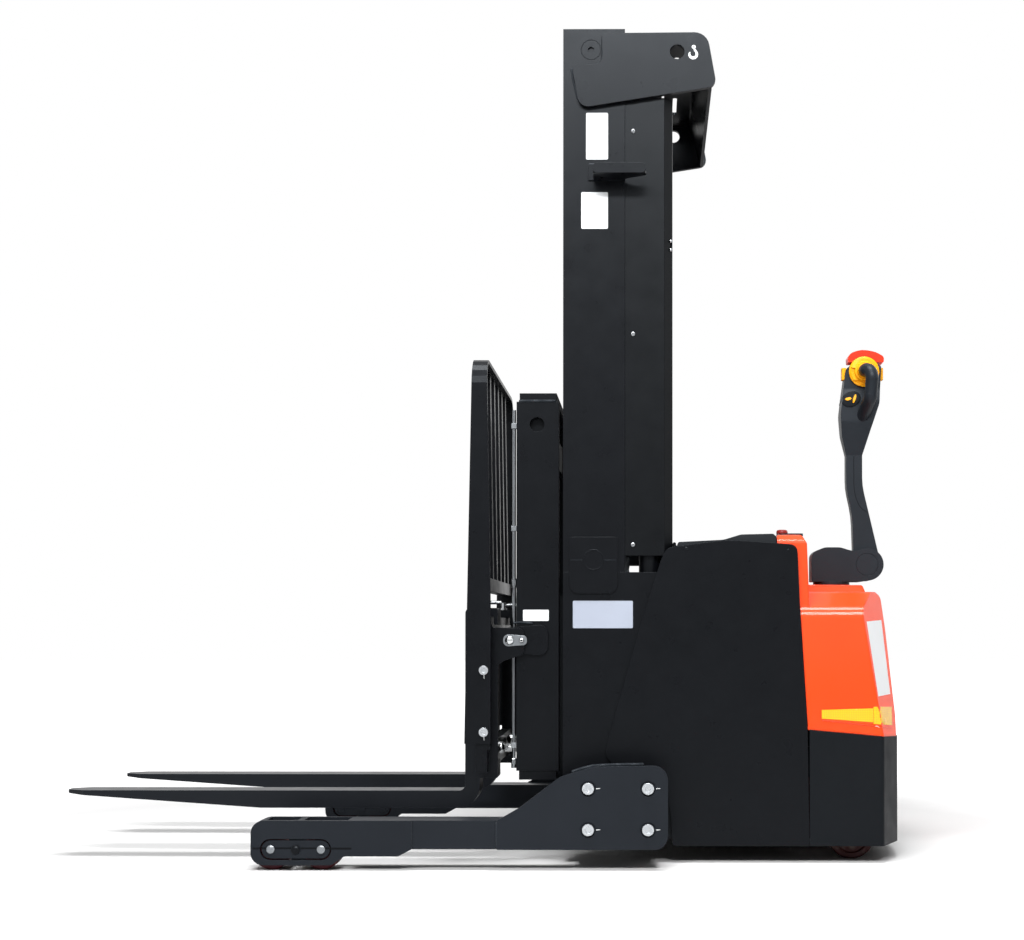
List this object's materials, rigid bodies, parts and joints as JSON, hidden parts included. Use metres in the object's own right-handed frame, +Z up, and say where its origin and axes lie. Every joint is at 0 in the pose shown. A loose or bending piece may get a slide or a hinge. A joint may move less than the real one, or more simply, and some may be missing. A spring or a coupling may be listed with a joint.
{
  "type": "walkie straddle stacker",
  "caption": "Pedestrian straddle stacker with a two-stage mast, tilting fork carriage and backrest, straddle legs, and a loop-handled tiller.",
  "frame": {"origin": "on the floor, below the middle of the machine's overall length and width", "axes": "+Z up; -X along the forks, away from the operator; +Y to the machine's far side as the picture shows it"},
  "size_m": [2.2634, 1.204, 2.214],
  "materials": {
    "charcoal_paint": "satin powder coat",
    "charcoal_sheet": "satin powder coat on sheet",
    "fork_steel": "thin satin paint, worn",
    "orange_cover": "gloss orange-red cover paint",
    "grey_moulding": "fine grained moulding",
    "black_plastic": "fine grained moulding",
    "yellow_plastic": "moulded",
    "red_plastic": "moulded",
    "battery_case": "satin",
    "finned_alloy": "cast fins",
    "ground_steel": "machined",
    "hard_chrome": "polished",
    "zinc_plate": "zinc plated",
    "oiled_chain": "oiled leaf chain",
    "wheel_tread": "cast tread, slightly worn",
    "reflector": "prismatic"
  },
  "bodies": {
    "chassis": {"chassis_frame": "charcoal_paint", "outer_mast": "charcoal_paint", "mast_top_plates": "charcoal_paint", "mast_covers": "charcoal_sheet", "mast_guard": "charcoal_sheet", "lift_cylinders": "charcoal_paint", "straddle_leg_near": "charcoal_paint", "straddle_leg_far": "charcoal_paint", "leg_bolts": "zinc_plate", "side_cover_near": "charcoal_paint", "side_cover_far": "charcoal_paint", "hood": "orange_cover", "bumper": "grey_moulding", "battery": "battery_case", "hydraulic_unit": "charcoal_paint", "controller": "finned_alloy", "dash": "black_plastic", "reflectors": "reflector", "rear_chains": "oiled_chain"},
    "inner_mast": {"inner_mast": "charcoal_paint", "lift_rods": "hard_chrome", "front_chains": "oiled_chain"},
    "outer_rollers": {"outer_mast_rollers": "ground_steel"},
    "inner_rollers": {"inner_mast_rollers": "ground_steel"},
    "sheaves": {"chain_sheaves": "ground_steel"},
    "lift_carriage": {"lift_carriage": "charcoal_paint", "hydraulic_tubes": "ground_steel", "tilt_cylinders": "charcoal_paint", "pivot_pins": "zinc_plate"},
    "upper_rollers": {"upper_rollers": "ground_steel"},
    "lower_rollers": {"lower_rollers": "ground_steel"},
    "fork_carriage": {"fork_carriage": "charcoal_paint", "backrest": "charcoal_paint", "backrest_bolts": "zinc_plate"},
    "tilt_rods": {"tilt_rods": "hard_chrome"},
    "fork_near": {"fork_near": "fork_steel"},
    "fork_far": {"fork_far": "fork_steel"},
    "fork_lock_near": {"fork_lock_near": "zinc_plate"},
    "fork_lock_far": {"fork_lock_far": "zinc_plate"},
    "bogie_near": {"bogie_near": "ground_steel"},
    "bogie_far": {"bogie_far": "ground_steel"},
    "load_wheel_1": {"load_wheel_1": "wheel_tread"},
    "load_wheel_2": {"load_wheel_2": "wheel_tread"},
    "load_wheel_3": {"load_wheel_3": "wheel_tread"},
    "load_wheel_4": {"load_wheel_4": "wheel_tread"},
    "steering": {"drive_unit": "charcoal_paint", "tiller_base": "charcoal_paint"},
    "drive_wheel": {"drive_wheel": "wheel_tread"},
    "caster_near": {"caster_yoke_near": "charcoal_paint"},
    "caster_far": {"caster_yoke_far": "charcoal_paint"},
    "caster_wheel_near": {"caster_wheel_near": "wheel_tread"},
    "caster_wheel_far": {"caster_wheel_far": "wheel_tread"},
    "tiller": {"tiller_arm": "charcoal_paint", "tiller_head": "black_plastic"},
    "throttle": {"throttle": "yellow_plastic"},
    "belly_switch": {"belly_switch": "red_plastic"},
    "horn_button": {"horn_button": "yellow_plastic"},
    "creep_button": {"creep_button": "yellow_plastic"},
    "emergency_stop": {"emergency_stop": "red_plastic"},
    "battery_lid": {"battery_lid": "black_plastic"}
  },
  "joints": [
    {"name": "mast_lift", "type": "slide", "parent": "chassis", "child": "inner_mast", "axis": [0, 0, 1], "range_m": [-0.045, 1.45], "deforming": ["rear_chains"]},
    {"name": "carriage_lift", "type": "slide", "parent": "inner_mast", "child": "lift_carriage", "axis": [0, 0, 1], "range_m": [-0.045, 1.45], "deforming": ["front_chains"]},
    {"name": "outer_roller_spin", "type": "hinge", "parent": "chassis", "child": "outer_rollers", "pos_m": [0.29775, 0, 2.158], "axis": [0, 1, 0], "continuous": true},
    {"name": "inner_roller_spin", "type": "hinge", "parent": "inner_mast", "child": "inner_rollers", "pos_m": [0.29775, 0, 0.175], "axis": [0, 1, 0], "continuous": true},
    {"name": "sheave_spin", "type": "hinge", "parent": "inner_mast", "child": "sheaves", "pos_m": [0.33175, 0, 2.114], "axis": [0, 1, 0], "continuous": true},
    {"name": "upper_roller_spin", "type": "hinge", "parent": "lift_carriage", "child": "upper_rollers", "pos_m": [0.29775, 0, 0.656], "axis": [0, 1, 0], "continuous": true},
    {"name": "lower_roller_spin", "type": "hinge", "parent": "lift_carriage", "child": "lower_rollers", "pos_m": [0.29775, 0, 0.29], "axis": [0, 1, 0], "continuous": true},
    {"name": "fork_tilt", "type": "hinge", "parent": "lift_carriage", "child": "fork_carriage", "pos_m": [0.07375, 0, 0.587], "axis": [0, 1, 0], "range_deg": [-2, 4]},
    {"name": "tilt_rod_slide", "type": "slide", "parent": "lift_carriage", "child": "tilt_rods", "axis": [-1, 0, 0], "range_m": [-0.012, 0.022]},
    {"name": "fork_slide_near", "type": "slide", "parent": "fork_carriage", "child": "fork_near", "axis": [0, 1, 0], "range_m": [-0.06, 0.17]},
    {"name": "fork_slide_far", "type": "slide", "parent": "fork_carriage", "child": "fork_far", "axis": [0, 1, 0], "range_m": [-0.17, 0.06]},
    {"name": "fork_lock_near_slide", "type": "slide", "parent": "fork_near", "child": "fork_lock_near", "axis": [0, 0, 1], "range_m": [0, 0.012], "stiffness_N_per_m": 800, "springref_m": -0.006},
    {"name": "fork_lock_far_slide", "type": "slide", "parent": "fork_far", "child": "fork_lock_far", "axis": [0, 0, 1], "range_m": [0, 0.012], "stiffness_N_per_m": 800, "springref_m": -0.006},
    {"name": "bogie_near_tilt", "type": "hinge", "parent": "chassis", "child": "bogie_near", "pos_m": [-0.45825, -0.5425, 0.054], "axis": [0, 1, 0], "range_deg": [-2.5, 2.5]},
    {"name": "bogie_far_tilt", "type": "hinge", "parent": "chassis", "child": "bogie_far", "pos_m": [-0.45825, 0.5425, 0.054], "axis": [0, 1, 0], "range_deg": [-2.5, 2.5]},
    {"name": "load_wheel_1_spin", "type": "hinge", "parent": "bogie_near", "child": "load_wheel_1", "pos_m": [-0.52275, -0.5425, 0.049], "axis": [0, 1, 0], "continuous": true},
    {"name": "load_wheel_2_spin", "type": "hinge", "parent": "bogie_near", "child": "load_wheel_2", "pos_m": [-0.39375, -0.5425, 0.049], "axis": [0, 1, 0], "continuous": true},
    {"name": "load_wheel_3_spin", "type": "hinge", "parent": "bogie_far", "child": "load_wheel_3", "pos_m": [-0.52275, 0.5425, 0.049], "axis": [0, 1, 0], "continuous": true},
    {"name": "load_wheel_4_spin", "type": "hinge", "parent": "bogie_far", "child": "load_wheel_4", "pos_m": [-0.39375, 0.5425, 0.049], "axis": [0, 1, 0], "continuous": true},
    {"name": "steer", "type": "hinge", "parent": "chassis", "child": "steering", "pos_m": [0.96675, 0, 0.3], "axis": [0, 0, 1], "range_deg": [-90, 90]},
    {"name": "drive_wheel_spin", "type": "hinge", "parent": "steering", "child": "drive_wheel", "pos_m": [0.96675, 0, 0.115], "axis": [0, 1, 0], "continuous": true},
    {"name": "caster_near_swivel", "type": "hinge", "parent": "chassis", "child": "caster_near", "pos_m": [0.95175, -0.305, 0.28], "axis": [0, 0, 1], "continuous": true},
    {"name": "caster_wheel_near_spin", "type": "hinge", "parent": "caster_near", "child": "caster_wheel_near", "pos_m": [0.98775, -0.305, 0.062], "axis": [0, 1, 0], "continuous": true},
    {"name": "caster_far_swivel", "type": "hinge", "parent": "chassis", "child": "caster_far", "pos_m": [0.95175, 0.305, 0.28], "axis": [0, 0, 1], "continuous": true},
    {"name": "caster_wheel_far_spin", "type": "hinge", "parent": "caster_far", "child": "caster_wheel_far", "pos_m": [0.98775, 0.305, 0.062], "axis": [0, 1, 0], "continuous": true},
    {"name": "tiller_tilt", "type": "hinge", "parent": "steering", "child": "tiller", "pos_m": [1.06575, 0, 0.801], "axis": [0, 1, 0], "range_deg": [0, 80], "stiffness_Nm_per_rad": 16, "springref_deg": -34.38},
    {"name": "throttle_turn", "type": "hinge", "parent": "tiller", "child": "throttle", "pos_m": [1.05775, 0, 1.352], "axis": [0, 1, 0], "range_deg": [-25, 25], "stiffness_Nm_per_rad": 0.8},
    {"name": "belly_switch_press", "type": "slide", "parent": "tiller", "child": "belly_switch", "axis": [0, 0, -1], "range_m": [0, 0.006], "stiffness_N_per_m": 1500, "springref_m": -0.002},
    {"name": "horn_press", "type": "slide", "parent": "tiller", "child": "horn_button", "axis": [1, 0, 0], "range_m": [0, 0.004], "stiffness_N_per_m": 1200, "springref_m": -0.001},
    {"name": "creep_press", "type": "slide", "parent": "tiller", "child": "creep_button", "axis": [-1, 0, 0], "range_m": [0, 0.003], "stiffness_N_per_m": 1200, "springref_m": -0.001},
    {"name": "emergency_stop_press", "type": "slide", "parent": "chassis", "child": "emergency_stop", "axis": [0, 0, 1], "range_m": [-0.005, 0]},
    {"name": "battery_lid_hinge", "type": "hinge", "parent": "chassis", "child": "battery_lid", "pos_m": [0.51275, 0, 0.848], "axis": [0, -1, 0], "range_deg": [0, 80]}
  ],
  "couplings": [
    {"joint": "carriage_lift", "follows": "mast_lift", "ratio": 1},
    {"joint": "outer_roller_spin", "follows": "mast_lift", "rad_per_m": 21.053},
    {"joint": "inner_roller_spin", "follows": "mast_lift", "rad_per_m": 16.26},
    {"joint": "sheave_spin", "follows": "mast_lift", "rad_per_m": -21.598},
    {"joint": "upper_roller_spin", "follows": "mast_lift", "rad_per_m": 21.053},
    {"joint": "lower_roller_spin", "follows": "mast_lift", "rad_per_m": -21.053},
    {"joint": "tilt_rod_slide", "follows": "fork_tilt", "m_per_rad": 0.297}
  ]
}
